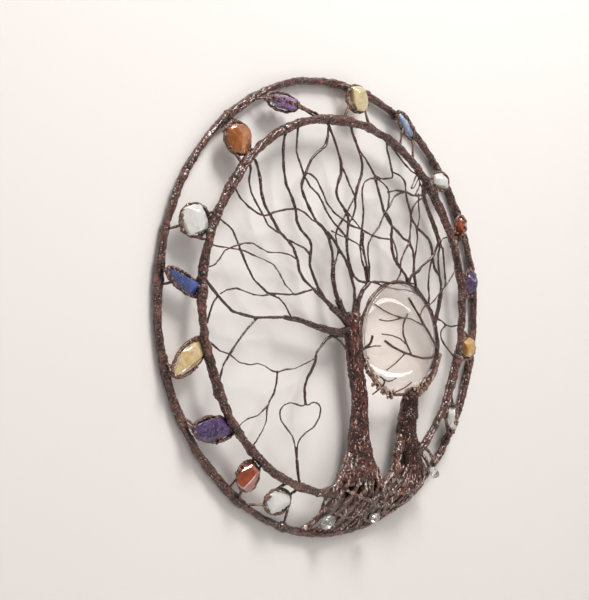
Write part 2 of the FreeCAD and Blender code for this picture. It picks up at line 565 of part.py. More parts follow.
def make_moon():
    """The domed glass: a disc cut by a large ball."""
    disc = doc.addObject("Part::Cylinder", "moon_disc")
    disc.setExpression("Radius", "Sizes.moon_width / 2")
    disc.setExpression("Height", "Sizes.moon_girdle + Sizes.moon_dome")
    disc.Placement = FreeCAD.Placement(moon_base(), UPRIGHT)
    ball = doc.addObject("Part::Sphere", "moon_ball")
    ball_rule = "((Sizes.moon_width / 2)^2 + Sizes.moon_dome^2) / (2 * Sizes.moon_dome)"
    ball.setExpression("Radius", ball_rule)
    ball.Placement = FreeCAD.Placement(moon_base(), UPRIGHT)
    ball.setExpression(".Placement.Base.y",
                       "-Sizes.tree_forward - Sizes.moon_girdle - Sizes.moon_dome + " + ball_rule)
    glass = doc.addObject("Part::Common", "moon_glass")
    glass.Base = disc
    glass.Tool = ball
    keep(glass, "moon_glass")


def make_moon_rim():
    """The wire round the glass and the beaded clay on its lower right."""
    rim = doc.addObject("Part::Torus", "moon_rim_wire")
    rim.setExpression("Radius1", "(Sizes.moon_width + Sizes.bezel_wire) / 2 + 0.1")
    rim.setExpression("Radius2", "Sizes.bezel_wire / 2")
    rim.Placement = FreeCAD.Placement(moon_base(), UPRIGHT)
    keep(rim, "moon_rim_wire")
    bead = doc.addObject("Part::Torus", "moon_rim_beads")
    bead.setExpression("Radius1", "Sizes.moon_width / 2 + Sizes.bezel_wire + 0.3 + Sizes.bezel_bead / 2")
    bead.setExpression("Radius2", "Sizes.bezel_bead / 2")
    bead.Angle3 = CUP_SWEEP
    turned = UPRIGHT.multiply(FreeCAD.Rotation(FreeCAD.Vector(0, 0, 1), CUP_START))
    bead.Placement = FreeCAD.Placement(moon_base(), turned)
    keep(bead, "moon_rim_beads")


def make_claws():
    """Thin wires that lie on the dome and hold the glass."""
    solids = []
    for thickness, places in CLAWS:
        points = []
        for east, up in places:
            depth = size("tree_forward") + dome_height(east, up) + thickness / 2.0 + 0.5
            points.append(FreeCAD.Vector(east, -depth, up))
        solids.append(tube(points, thickness, bend=5.0))
    feature("moon_claws", Part.Compound(solids))


make_moon()
make_moon_rim()
make_claws()

# ---------------------------------------------------------------- stones and their cups

CUP_CORNERS = 10                        # bend points of a cup's wire


def stone_middle(stone):
    """Middle of one stone."""
    around = math.radians(STONES[stone][3])
    reach = STONES[stone][4]
    return FreeCAD.Vector(reach * math.cos(around), -size("stone_forward"), reach * math.sin(around))


def rim_point(stone, degrees, gap):
    """A point beside the stone's waist, counted round from the end of its length."""
    turn = math.radians(degrees)
    along = (size(stone + "_long") / 2.0 + gap) * math.cos(turn)
    across = (size(stone + "_wide") / 2.0 + gap) * math.sin(turn)
    tilt = math.radians(STONES[stone][5])
    east = along * math.cos(tilt) - across * math.sin(tilt)
    up = along * math.sin(tilt) + across * math.cos(tilt)
    return stone_middle(stone) + FreeCAD.Vector(east, 0, up)


def make_stone(stone):
    """One tumbled stone, as an ellipsoid bound to the sheet."""
    body = doc.addObject("Part::Ellipsoid", "stone_" + stone)
    body.setExpression("Radius1", "Sizes.%s_thick / 2" % stone)
    body.setExpression("Radius2", "Sizes.%s_long / 2" % stone)
    body.setExpression("Radius3", "Sizes.%s_wide / 2" % stone)
    tilt = FreeCAD.Rotation(FreeCAD.Vector(0, 0, 1), STONES[stone][5])
    body.Placement = FreeCAD.Placement(stone_middle(stone), UPRIGHT.multiply(tilt))
    keep(body, "stone_" + stone)


def make_cup(stone):
    """The wire round one stone's waist and its ties to the hoops."""
    wire = size("cup_wire")
    gap = wire / 2.0 + 0.2
    waist = [rim_point(stone, 360.0 * corner / CUP_CORNERS, gap * 1.35) for corner in range(CUP_CORNERS)]
    solids = [tube(waist, wire, closed=True)]
    for degrees, which, around in TIES[stone]:
        start = rim_point(stone, degrees, gap)
        solids.append(tube([start, hoop_point(which, around)], size("cup_tie")))
    feature("cup_" + stone, joined(solids))


for stone in STONES:
    make_stone(stone)
    make_cup(stone)

# Small clear chips bedded among the roots: length, width, thickness, east, up, forward, tilt.
CHIPS = [
    (13.0, 8.0, 6.0, -14, -139, 9, 20),
    (11.0, 7.0, 6.0, 84, -112, 15, -35),
    (9.0, 6.0, 5.0, 26, -139, 13, 10),
]


def make_chips():
    """The clear chips in the roots, kept as one node."""
    solids = []
    for along, across, through, east, up, forward, tilt in CHIPS:
        ball = Part.makeSphere(1.0)
        stretch = FreeCAD.Matrix()
        stretch.scale(along / 2.0, through / 2.0, across / 2.0)
        chip = ball.transformGeometry(stretch)
        chip.rotate(FreeCAD.Vector(0, 0, 0), FreeCAD.Vector(0, 1, 0), -tilt)
        chip.translate(FreeCAD.Vector(east, -forward, up))
        solids.append(chip)
    feature("stone_root_chips", Part.Compound(solids))


make_chips()

# ---------------------------------------------------------------- hanging, checks and writing


def lower_to_nail(thing):
    """Move one sub-part down until the nail under the top of the outer hoop is at the origin."""
    place = thing.Placement
    place.Base.z -= size("outer_hoop") - size("outer_clay") / 2.0
    thing.Placement = place


for thing in BODIES:
    lower_to_nail(thing)
doc.recompute()
for thing in doc.Objects:
    if "Invalid" in thing.State or "Error" in thing.State:
        raise RuntimeError("failed object: " + thing.Name)
for thing in BODIES:
    if thing.Shape.isNull() or not thing.Shape.isValid():
        raise RuntimeError("bad shape: " + thing.Label)
    if thing.Shape.Volume <= 0:
        raise RuntimeError("no volume: " + thing.Label)
for thing in BODIES:
    thing.Shape.exportStep("parts/%s.step" % thing.Label)
print(len(BODIES), "sub-parts written")
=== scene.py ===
"""Looks for the tree of life wall hanging: clay skins, stones, glass moon, wall, light and camera."""

import math

import bmesh
import bpy
import numpy as np
from mathutils import Matrix, Vector


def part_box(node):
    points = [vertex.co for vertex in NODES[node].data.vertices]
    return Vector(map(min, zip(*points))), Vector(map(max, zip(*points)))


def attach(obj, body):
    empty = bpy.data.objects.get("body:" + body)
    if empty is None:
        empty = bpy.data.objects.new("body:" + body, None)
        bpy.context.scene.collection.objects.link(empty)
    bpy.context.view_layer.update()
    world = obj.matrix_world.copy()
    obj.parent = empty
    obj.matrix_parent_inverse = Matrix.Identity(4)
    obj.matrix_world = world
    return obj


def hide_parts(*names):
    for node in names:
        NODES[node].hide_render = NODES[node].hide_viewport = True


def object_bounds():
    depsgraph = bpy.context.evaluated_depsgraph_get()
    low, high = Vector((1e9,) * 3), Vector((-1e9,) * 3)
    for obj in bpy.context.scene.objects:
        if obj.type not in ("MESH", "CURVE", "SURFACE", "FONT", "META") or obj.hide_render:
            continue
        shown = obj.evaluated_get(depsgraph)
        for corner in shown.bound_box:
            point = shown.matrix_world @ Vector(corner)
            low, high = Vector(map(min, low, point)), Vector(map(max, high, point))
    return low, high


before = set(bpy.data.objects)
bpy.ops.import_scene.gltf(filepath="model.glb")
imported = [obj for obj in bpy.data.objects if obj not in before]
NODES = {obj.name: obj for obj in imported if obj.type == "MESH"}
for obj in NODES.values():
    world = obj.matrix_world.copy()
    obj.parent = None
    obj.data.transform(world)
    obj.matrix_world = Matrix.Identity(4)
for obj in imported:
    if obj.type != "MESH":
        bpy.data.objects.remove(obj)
CAD_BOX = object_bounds()

MM = 0.001

# The outer hoop gives the middle of the work and its size.
HOOP_LOW, HOOP_HIGH = [Vector(corner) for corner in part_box("outer_hoop_clay")]
CENTRE = (HOOP_LOW + HOOP_HIGH) / 2.0
OUTER_REACH = (HOOP_HIGH.x - HOOP_LOW.x) / 2.0
INNER_LOW, INNER_HIGH = [Vector(corner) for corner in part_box("inner_hoop_clay")]
INNER_CENTRE = (INNER_LOW + INNER_HIGH) / 2.0
MOON_LOW, MOON_HIGH = [Vector(corner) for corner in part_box("moon_glass")]
LEFT_FORK = np.array([9.6 * MM, -9.5 * MM, CENTRE.z - 7.0 * MM])


# ---------------------------------------------------------------- seeded noise

def lattice(cells, seed):
    """A repeatable number from 0 to 1 for each whole-numbered cell."""
    x, y, z = cells[:, 0], cells[:, 1], cells[:, 2]
    mixed = x * 374761393 + y * 668265263 + z * 2147483647 + seed * 1274126177
    mixed = (mixed ^ (mixed >> 13)) * 1274126177
    mixed = mixed & 0x7FFFFFFF
    mixed = (mixed ^ (mixed >> 16)) & 0xFFFF
    return mixed / 65535.0


def noise(points, cell, seed=0):
    """Smooth noise from -1 to 1 at each point; cell is the size of its lumps in metres."""
    scaled = points / cell
    whole = np.floor(scaled).astype(np.int64)
    part = scaled - whole
    ease = part * part * (3.0 - 2.0 * part)
    total = np.zeros(len(points))
    for corner in range(8):
        step = np.array([corner & 1, (corner >> 1) & 1, corner >> 2])
        weight = np.prod(np.where(step == 1, ease, 1.0 - ease), axis=1)
        total += weight * lattice(whole + step, seed)
    return total * 2.0 - 1.0


# ---------------------------------------------------------------- mesh helpers

def new_object(name, mesh):
    """An object with that mesh, in the scene."""
    thing = bpy.data.objects.new(name, mesh)
    bpy.context.scene.collection.objects.link(thing)
    return thing


def node_mesh(names, name):
    """One mesh holding copies of several CAD nodes."""
    build = bmesh.new()
    for node in names:
        build.from_mesh(NODES[node].data)
    mesh = bpy.data.meshes.new(name)
    build.to_mesh(mesh)
    build.free()
    return mesh


def baked(thing, name):
    """The object's mesh with its modifiers applied, as a new mesh on the same object."""
    graph = bpy.context.evaluated_depsgraph_get()
    mesh = bpy.data.meshes.new_from_object(thing.evaluated_get(graph))
    mesh.name = name
    thing.modifiers.clear()
    thing.data = mesh
    return mesh


def read_points(mesh):
    """Vertex places as an array."""
    flat = np.empty(len(mesh.vertices) * 3)
    mesh.vertices.foreach_get("co", flat)
    return flat.reshape(-1, 3)


def read_normals(mesh):
    """Vertex normals as an array."""
    flat = np.empty(len(mesh.vertices) * 3)
    mesh.vertex_normals.foreach_get("vector", flat)
    return flat.reshape(-1, 3)


def write_points(mesh, points):
    """Moves every vertex."""
    mesh.vertices.foreach_set("co", points.ravel())
    mesh.update()


def smooth_shaded(mesh):
    """Smooth shading on every face."""
    mesh.polygons.foreach_set("use_smooth", [True] * len(mesh.polygons))


def dress(thing, material, slot, *nodes):
    """Gives a piece its material, lets it ride on the root and stand for its nodes; slot is not used."""
    thing.data.materials.clear()
    thing.data.materials.append(material)
    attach(thing, "root")
    if nodes:
        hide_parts(*nodes)
    return thing


# ---------------------------------------------------------------- clay skins

def remeshed(name, nodes, voxel, smoothing=4):
    """A closed skin over CAD nodes, made of even small quads."""
    thing = new_object(name, node_mesh(nodes, name))
    remesh = thing.modifiers.new("skin", "REMESH")
    remesh.mode = "VOXEL"
    remesh.voxel_size = voxel * 1.0
    remesh.adaptivity = 0.0
    soften = thing.modifiers.new("soften", "SMOOTH")
    soften.iterations = smoothing
    soften.factor = 0.5
    baked(thing, name)
    return thing


def swell(thing, rule):
    """Moves each vertex along its normal by rule(points, normals), in metres."""
    mesh = thing.data
    points = read_points(mesh)
    normals = read_normals(mesh)
    write_points(mesh, points + normals * rule(points, normals)[:, None])
    smooth_shaded(mesh)


def knobs(points, lump, grain, seed):
    """Hand pressed clay: broad lumps and a fine grain."""
    broad = noise(points, 4.2 * MM, seed) * lump
    middle = noise(points, 1.7 * MM, seed + 1) * lump * 0.5
    fine = noise(points, 0.8 * MM, seed + 2) * grain
    return broad + middle + fine


def hoop_angles(points, centre):
    """Angle round the hoop and angle round the hoop's own thickness."""
    east = points[:, 0] - centre.x
    up = points[:, 2] - centre.z
    around = np.arctan2(up, east)
    reach = np.hypot(east, up)
    return around, reach


def hoop_bark(points, centre, radius, twists, depth, seed):
    """Long ridges that wind round a hoop, like twisted strands pressed flat."""
    around, reach = hoop_angles(points, centre)
    turn = np.arctan2(points[:, 1] - centre.y, reach - radius)
    drift = noise(points, 16.0 * MM, seed) * 1.6
    ridge = np.abs(np.sin(1.5 * turn + twists * around + drift))
    fine = np.abs(np.sin(4.0 * turn + twists * 2.5 * around + drift * 2.0))
    patchy = 0.55 + 0.45 * noise(points, 22.0 * MM, seed + 7)
    return (ridge * 0.75 + fine * 0.3 - 0.6) * depth * patchy


def joint_angles(names, centre, radius, reach):
    """How much other clay touches a hoop at each degree round it, from 0 to 1."""
    touched = np.zeros(720)
    for node in names:
        points = read_points(NODES[node].data)
        around, away = hoop_angles(points, centre)
        near = np.hypot(away - radius, points[:, 1] - centre.y) < reach
        bins = ((around[near] + math.pi) / (2.0 * math.pi) * 720.0).astype(int) % 720
        touched[bins] = 1.0
    spread = np.zeros(720)
    for step in range(-8, 9):
        spread = np.maximum(spread, np.roll(touched, step) * math.exp(-(step / 4.0) ** 2))
    return spread


def joint_swell(points, centre, spread):
    """The value of joint_angles at each point."""
    around, away = hoop_angles(points, centre)
    bins = ((around + math.pi) / (2.0 * math.pi) * 720.0).astype(int) % 720
    return spread[bins]


def make_hoop(which, centre, radius, twists, seed, material):
    """The clay of one hoop and the strand wound round it, lumpy where limbs and ties are pressed on."""
    others = [node for node in NODES if node.startswith("cup_") or "limbs" in node or "bough" in node]
    spread = joint_angles(others, centre, radius, 3.4 * MM)
    clay = remeshed(which + "_clay_skin", [which + "_hoop_clay"], 0.45 * MM)
    swell(clay, lambda p, n: hoop_bark(p, centre, radius, twists, 0.9 * MM, seed)
          + knobs(p, 0.4 * MM, 0.15 * MM, seed)
          + joint_swell(p, centre, spread) * (0.35 * MM + knobs(p, 0.8 * MM, 0.25 * MM, seed + 5)))
    dress(clay, material, "bark_clay", which + "_hoop_clay")
    vine = remeshed(which + "_vine_skin", [which + "_hoop_vine"], 0.4 * MM)
    swell(vine, lambda p, n: hoop_bark(p, centre, radius, twists * 2, 0.35 * MM, seed + 11)
          + knobs(p, 0.45 * MM, 0.12 * MM, seed + 12))
    dress(vine, material, "bark_clay", which + "_hoop_vine")


def fork_swell(points):
    """Clay heaped where the boughs leave the left trunk, in metres."""
    away = np.linalg.norm(points - LEFT_FORK, axis=1)
    return 1.1 * MM * np.exp(-(away / (9.0 * MM)) ** 2)


def make_limbs(node, seed, material, lump):
    """Clay over one group of limbs."""
    skin = remeshed(node + "_skin", [node], 0.36 * MM, 3)
    swell(skin, lambda p, n: knobs(p, lump * MM, 0.1 * MM, seed) + fork_swell(p) - 0.1 * MM)
    return dress(skin, material, "bark_clay", node)


def slice_middles(points, step):
    """The middle of the mesh at each height, for working out angles round a trunk."""
    low = points[:, 2].min()
    bands = ((points[:, 2] - low) / step).astype(int)
    count = np.bincount(bands)
    east = np.bincount(bands, points[:, 0]) / np.maximum(count, 1)
    deep = np.bincount(bands, points[:, 1]) / np.maximum(count, 1)
    return east[bands], deep[bands]


def trunk_bark(points, seed):
    """Pressed strands that run up a trunk and cross each other, broken by broad lumps."""
    east, deep = slice_middles(points, 3.0 * MM)
    turn = np.arctan2(points[:, 1] - deep, points[:, 0] - east)
    height = points[:, 2] / MM
    drift = noise(points, 8.0 * MM, seed) * 2.2
    strands = np.abs(np.sin(3.0 * turn + height * 0.07 + drift))
    counter = np.abs(np.sin(4.0 * turn - height * 0.19 + drift * 1.7))
    wraps = np.abs(np.sin(height * 0.75 + turn * 2.0 + drift * 2.5))
    broken = 0.5 + 0.5 * noise(points, 5.0 * MM, seed + 3)
    return (strands * 0.8 + counter * 0.5 + wraps * 0.45 * broken - 0.75) * MM


def make_trunk(node, seed, material):
    """Clay over one trunk; the relief never cuts as deep as the wires inside."""
    skin = remeshed(node + "_skin", [node], 0.42 * MM, 6)
    swell(skin, lambda p, n: np.maximum(trunk_bark(p, seed) * 0.8 + knobs(p, 0.45 * MM, 0.25 * MM, seed),
                                        -0.45 * MM) + 0.35 * MM + fork_swell(p) * 0.4)
    return dress(skin, material, "bark_clay", node)


# ---------------------------------------------------------------- materials

def new_material(name):
    """A node material with its shader and a short way to add nodes."""
    material = bpy.data.materials.new(name)
    material.use_nodes = True
    tree = material.node_tree
    shader = tree.nodes["Principled BSDF"]
    return material, tree, shader


def add(tree, kind, **settings):
    """One shader node with its settings and unlinked inputs."""
    node = tree.nodes.new(kind)
    for key, value in settings.items():
        if key.startswith("in_"):
            node.inputs[key[3:].replace("_", " ")].default_value = value
        else:
            setattr(node, key, value)
    return node


def ramp(tree, source, stops):
    """A colour ramp over a value, from (place, colour) stops."""
    node = tree.nodes.new("ShaderNodeValToRGB")
    elements = node.color_ramp.elements
    while len(elements) < len(stops):
        elements.new(0.5)
    for element, (place, colour) in zip(elements, stops):
        element.position = place
        element.color = (*colour, 1.0)
    tree.links.new(source, node.inputs["Fac"])
    return node.outputs["Color"]


def mixed(tree, factor, first, second):
    """One colour laid over another; each is a socket or a colour."""
    node = tree.nodes.new("ShaderNodeMix")
    node.data_type = "RGBA"
    for socket, value in ((node.inputs[0], factor), (node.inputs[6], first), (node.inputs[7], second)):
        if isinstance(value, bpy.types.NodeSocket):
            tree.links.new(value, socket)
        elif isinstance(value, tuple):
            socket.default_value = (*value, 1.0)
        else:
            socket.default_value = value
    return node.outputs[2]


def place_noise(tree, scale, detail=4.0, rough=0.55, warp=0.0):
    """Noise in the object's own space; scale is in lumps per metre."""
    where = add(tree, "ShaderNodeTexCoord")
    node = add(tree, "ShaderNodeTexNoise", in_Scale=scale, in_Detail=detail, in_Roughness=rough,
               in_Distortion=warp)
    tree.links.new(where.outputs["Object"], node.inputs["Vector"])
    return node.outputs["Fac"]


def bumped(tree, shader, height, strength, distance):
    """Fine relief on a shader."""
    node = add(tree, "ShaderNodeBump", in_Strength=strength, in_Distance=distance)
    tree.links.new(height, node.inputs["Height"])
    tree.links.new(node.outputs["Normal"], shader.inputs["Normal"])


def strokes(tree, scale, stretch, warp=1.2):
    """Noise drawn out upwards, like short tool marks in the clay."""
    where = add(tree, "ShaderNodeTexCoord")
    turn = add(tree, "ShaderNodeMapping")
    turn.inputs["Scale"].default_value = (1.0, 1.0, stretch)
    node = add(tree, "ShaderNodeTexNoise", in_Scale=scale, in_Detail=3.0, in_Roughness=0.6,
               in_Distortion=warp)
    tree.links.new(where.outputs["Object"], turn.inputs["Vector"])
    tree.links.new(turn.outputs["Vector"], node.inputs["Vector"])
    return node.outputs["Fac"]


def clay_material(name, dark, middle, light, painted_glint_colour, painted_glint_threshold=0.60, stretch=1.0, polish=0.5, fine=1050.0):
    """Varnished clay: mottled brown, paler on its ridges from wear and a painted highlight, with small
    pinkish flecks that are painted highlights, and painted shade darkening its creases.
    """
    material, tree, shader = new_material(name)
    mottle = place_noise(tree, 190.0, 6.0, 0.7, 0.6)
    base = ramp(tree, mottle, [(0.42, dark), (0.55, middle), (0.76, light)])
    # Ridges found by pointiness are mixed toward the pale colour: partly edge wear, partly a painted
    # highlight on the ridges.
    ridge = add(tree, "ShaderNodeNewGeometry")
    ridge_wear_and_highlight = ramp(tree, ridge.outputs["Pointiness"], [(0.50, (0.0, 0.0, 0.0)), (0.62, (0.8, 0.8, 0.8))])
    base_with_lit_ridges = mixed(tree, ridge_wear_and_highlight, base, light)
    # Pale flecks from stretched noise: painted highlights, glints standing in for gloss on the bumpy
    # varnish.
    glint_marks = strokes(tree, fine, stretch)
    painted_glint_spots = ramp(tree, glint_marks, [(painted_glint_threshold, (0.0, 0.0, 0.0)), (painted_glint_threshold + 0.06, (1.0, 1.0, 1.0))])
    # Ambient occlusion turns the clay to its darkest colour in creases and between strands: painted shade.
    crease_shade_ao = add(tree, "ShaderNodeAmbientOcclusion", samples=6)
    crease_shade_ao.inputs["Distance"].default_value = 0.006
    painted_shade_mask = ramp(tree, crease_shade_ao.outputs["AO"], [(0.42, (0.0, 0.0, 0.0)), (0.90, (1.0, 1.0, 1.0))])
    colour = mixed(tree, painted_shade_mask, dark, mixed(tree, painted_glint_spots, base_with_lit_ridges, painted_glint_colour))
    tree.links.new(colour, shader.inputs["Base Color"])
    gloss = ramp(tree, place_noise(tree, 500.0), [(0.3, (0.20, 0.20, 0.20)), (0.7, (0.45, 0.45, 0.45))])
    tree.links.new(gloss, shader.inputs["Roughness"])
    shader.inputs["Specular IOR Level"].default_value = 0.14
    shader.inputs["Coat Weight"].default_value = polish
    shader.inputs["Coat Roughness"].default_value = 0.10
    bumped(tree, shader, strokes(tree, 900.0, stretch), 0.85, 0.0009)
    return material


def steel_material():
    """Drawn wire inside the clay."""
    material, tree, shader = new_material("armature_steel")
    shade = ramp(tree, place_noise(tree, 900.0), [(0.3, (0.30, 0.29, 0.28)), (0.7, (0.52, 0.51, 0.49))])
    tree.links.new(shade, shader.inputs["Base Color"])
    shader.inputs["Metallic"].default_value = 1.0
    shader.inputs["Roughness"].default_value = 0.35
    bumped(tree, shader, place_noise(tree, 2500.0), 0.2, 0.0001)
    return material


def stone_material(name, pale, deep, vein, clear, grain=160.0, rough=0.12):
    """A tumbled stone: cloudy colour, veins, and some light passing through."""
    material, tree, shader = new_material(name)
    cloud = place_noise(tree, grain, 5.0, 0.6, 1.2)
    base = ramp(tree, cloud, [(0.32, deep), (0.66, pale)])
    veins = ramp(tree, place_noise(tree, grain * 2.2, 7.0, 0.7, 2.4),
                 [(0.485, (0.0, 0.0, 0.0)), (0.50, (0.7, 0.7, 0.7)), (0.515, (0.0, 0.0, 0.0))])
    tree.links.new(mixed(tree, veins, base, vein), shader.inputs["Base Color"])
    shader.inputs["Transmission Weight"].default_value = clear
    shader.inputs["IOR"].default_value = 1.54
    shader.inputs["Roughness"].default_value = rough
    shader.inputs["Coat Weight"].default_value = 0.75
    shader.inputs["Coat Roughness"].default_value = 0.03
    bumped(tree, shader, place_noise(tree, 220.0, 2.0, 0.5), 0.16, 0.0006)
    return material


def glass_material():
    """The clear, slightly milky glass of the moon."""
    material, tree, shader = new_material("moon_glass")
    tint = ramp(tree, place_noise(tree, 30.0), [(0.3, (0.79, 0.72, 0.68)), (0.7, (0.93, 0.90, 0.875))])
    tree.links.new(tint, shader.inputs["Base Color"])
    shader.inputs["Transmission Weight"].default_value = 0.86
    shader.inputs["IOR"].default_value = 1.20
    shader.inputs["Roughness"].default_value = 0.05
    shader.inputs["Coat Weight"].default_value = 1.0
    shader.inputs["Coat IOR"].default_value = 1.6
    shader.inputs["Coat Roughness"].default_value = 0.03
    bumped(tree, shader, place_noise(tree, 60.0, 2.0), 0.03, 0.0005)
    return material


def plain_material(name, colour, rough):
    """Matt paint for the stage, a little uneven."""
    material, tree, shader = new_material(name)
    low = tuple(channel * 0.97 for channel in colour)
    tree.links.new(ramp(tree, place_noise(tree, 3.0), [(0.3, low), (0.7, colour)]),
                   shader.inputs["Base Color"])
    shader.inputs["Roughness"].default_value = rough
    return material


# Clay colours: darkest, middle, pale, then the colour of the painted highlight flecks; then the fleck
# threshold, stretch, coat weight and fleck scale.
CLAY = clay_material("bark_clay", (0.0080, 0.0015, 0.0008), (0.078, 0.0205, 0.0130), (0.320, 0.140, 0.108),
                     (0.78, 0.56, 0.48), 0.610, 1.0, 1.0)
LIMB = clay_material("limb_clay", (0.0060, 0.0014, 0.0008), (0.040, 0.0110, 0.0070), (0.220, 0.095, 0.072),
                     (0.70, 0.50, 0.42), 0.620, 1.0, 1.0)
TRUNK = clay_material("trunk_clay", (0.0070, 0.0011, 0.0006), (0.070, 0.0135, 0.0080), (0.300, 0.098, 0.070),
                      (0.88, 0.66, 0.56), 0.605, 0.35, 0.8, 800.0)
DARK_TRUNK = clay_material("dark_trunk_clay", (0.0045, 0.0007, 0.0004), (0.036, 0.0070, 0.0040),
                           (0.190, 0.062, 0.044), (0.70, 0.48, 0.39), 0.625, 0.35, 0.6, 800.0)
ROOT = clay_material("root_clay", (0.0060, 0.0012, 0.0006), (0.090, 0.022, 0.014), (0.50, 0.240, 0.175),
                     (0.97, 0.80, 0.70), 0.575, 0.3, 1.0, 620.0)
CUP = clay_material("cup_clay", (0.0120, 0.0036, 0.0018), (0.066, 0.022, 0.013), (0.28, 0.140, 0.095),
                    (0.80, 0.58, 0.45), 0.570)
BEAD = clay_material("beaded_clay", (0.034, 0.012, 0.006), (0.23, 0.105, 0.062), (0.56, 0.35, 0.25),
                     (0.92, 0.72, 0.58), 0.54)
STEEL = steel_material()
GLASS = glass_material()


# ---------------------------------------------------------------- stones

def stone_axes(node):
    """Middle, unit axes and half sizes of a CAD stone, longest first."""
    points = read_points(NODES[node].data)
    middle = (points.max(axis=0) + points.min(axis=0)) / 2.0
    spread, axes = np.linalg.eigh(np.cov((points - middle).T))
    axes = axes[:, ::-1].T
    axes = np.array([axis if axis[2] >= 0.0 else -axis for axis in axes])
    halves = np.array([np.abs((points - middle) @ axis).max() for axis in axes])
    return middle, axes, halves


STONE_GROWTH = np.array([1.05, 1.08, 1.0])       # the stones fill their cups
KNOB_SPACING = 0.62 * MM        # clay knobs round a stone
KNOB_SIZE = 0.85 * MM
# How much longer, wider and thicker single stones are than their CAD ellipsoids.
WIDER = {"kyanite_west": (1.0, 1.22, 1.0), "amethyst_southwest": (1.08, 1.12, 1.0),
         "carnelian_south": (1.08, 1.08, 1.0), "citrine_west": (1.06, 1.10, 1.0)}


def stone_mesh(name, halves, seed, cuts, square, pointed, tear, rough):
    """A tumbled stone about its own middle: a swollen box with worn flat faces.

    pointed draws both ends of its length out to a tip, tear makes one end wider than the other.
    """
    build = bmesh.new()
    bmesh.ops.create_icosphere(build, subdivisions=5, radius=1.0)
    mesh = bpy.data.meshes.new(name)
    build.to_mesh(mesh)
    build.free()
    points = read_points(mesh)
    power = 2.0 + square
    norm = (np.abs(points) ** power).sum(axis=1) ** (1.0 / power)
    points = points / norm[:, None]
    chance = np.random.default_rng(seed)
    for cut in range(cuts):
        facing = chance.normal(size=3)
        facing /= np.linalg.norm(facing)
        limit = chance.uniform(0.72, 0.90)
        over = points @ facing - limit
        points -= np.outer(np.maximum(over, 0.0) * 0.94, facing)
    points *= 1.0 / np.abs(points).max(axis=0)
    along = points[:, :1]
    points[:, 1:] *= np.clip(1.0 - along * along, 0.0, 1.0) ** pointed
    points[:, 1:2] *= 1.0 - tear * along
    points = points * halves * STONE_GROWTH
    points = points * (1.0 + rough * noise(points, 3.0 * MM, seed)[:, None])
    write_points(mesh, points)
    smooth_shaded(mesh)
    return mesh


def make_stone(node, material, slot, seed, cuts, square, pointed, tear, rough):
    """One stone in place of its CAD ellipsoid."""
    middle, axes, halves = stone_axes(node)
    halves = halves * np.array(WIDER.get(node.removeprefix("stone_"), (1.0, 1.0, 1.0)))
    mesh = stone_mesh(node + "_gem", halves, seed, cuts, square, pointed, tear, rough)
    points = read_points(mesh) @ axes + middle
    write_points(mesh, points)
    return dress(new_object(node + "_gem", mesh), material, slot, node)


def squashed(chance, widest, deepest):
    """A random squash that keeps clay knobs from being round balls."""
    wide = chance.uniform(0.8, widest)
    deep = chance.uniform(0.7, deepest)
    tall = chance.uniform(0.8, widest)
    return Matrix.Diagonal((wide, deep, tall, 1.0))


def make_bezel(node, seed):
    """Knobs of clay pressed round a stone's waist."""
    middle, axes, halves = stone_axes("stone_" + node)
    chance = np.random.default_rng(seed)
    build = bmesh.new()
    round_about = math.pi * (halves[0] + halves[1])
    for step in range(int(round_about / KNOB_SPACING)):
        turn = 2.0 * math.pi * chance.random()
        reach = chance.normal() * 0.35 * MM + 0.9 * MM
        spot = middle + axes[0] * (halves[0] + reach) * math.cos(turn)
        spot = spot + axes[1] * (halves[1] + reach) * math.sin(turn)
        spot = spot + axes[2] * chance.normal() * 0.7 * MM
        squash = squashed(chance, 1.4, 1.1)
        bmesh.ops.create_icosphere(build, subdivisions=2, radius=chance.uniform(0.7, 1.15) * KNOB_SIZE,
                                   matrix=Matrix.Translation(spot) @ squash)
    mesh = bpy.data.meshes.new(node + "_bezel")
    build.to_mesh(mesh)
    build.free()
    points = read_points(mesh)
    write_points(mesh, points + 0.16 * MM * noise(points, 0.7 * MM, seed)[:, None] * read_normals(mesh))
    smooth_shaded(mesh)
    return dress(new_object(node + "_bezel", mesh), CUP, "cup_clay")


# Each kind of stone: pale colour, deep colour, vein colour, how much light passes.
STONE_LOOKS = {
    "pale_citrine": ((0.82, 0.68, 0.36), (0.60, 0.40, 0.10), (0.93, 0.86, 0.70), 0.35),
    "ochre_citrine": ((0.66, 0.38, 0.10), (0.40, 0.19, 0.03), (0.85, 0.66, 0.36), 0.2),
    "golden_citrine": ((0.86, 0.72, 0.46), (0.58, 0.36, 0.05), (0.93, 0.80, 0.74), 0.3),
    "amethyst": ((0.115, 0.038, 0.20), (0.008, 0.002, 0.024), (0.62, 0.50, 0.74), 0.35),
    "rough_amethyst": ((0.34, 0.17, 0.42), (0.050, 0.014, 0.09), (0.66, 0.48, 0.66), 0.1),
    "carnelian": ((0.48, 0.070, 0.008), (0.15, 0.014, 0.002), (0.60, 0.18, 0.04), 0.25),
    "amber_carnelian": ((0.50, 0.15, 0.022), (0.22, 0.045, 0.008), (0.80, 0.40, 0.10), 0.2),
    "kyanite": ((0.052, 0.090, 0.34), (0.006, 0.010, 0.055), (0.22, 0.28, 0.55), 0.05),
    "clear_quartz": ((0.97, 0.96, 0.93), (0.90, 0.88, 0.85), (0.50, 0.48, 0.44), 0.45),
    "root_quartz": ((0.97, 0.95, 0.92), (0.80, 0.74, 0.69), (0.55, 0.50, 0.45), 0.85),
    "pale_blade": ((0.60, 0.72, 0.93), (0.26, 0.37, 0.64), (0.95, 0.97, 1.0), 0.4),
}

BANDED = ("amethyst", "kyanite")        # stones with broad clouds of colour
BANDED_GRAIN = 75.0

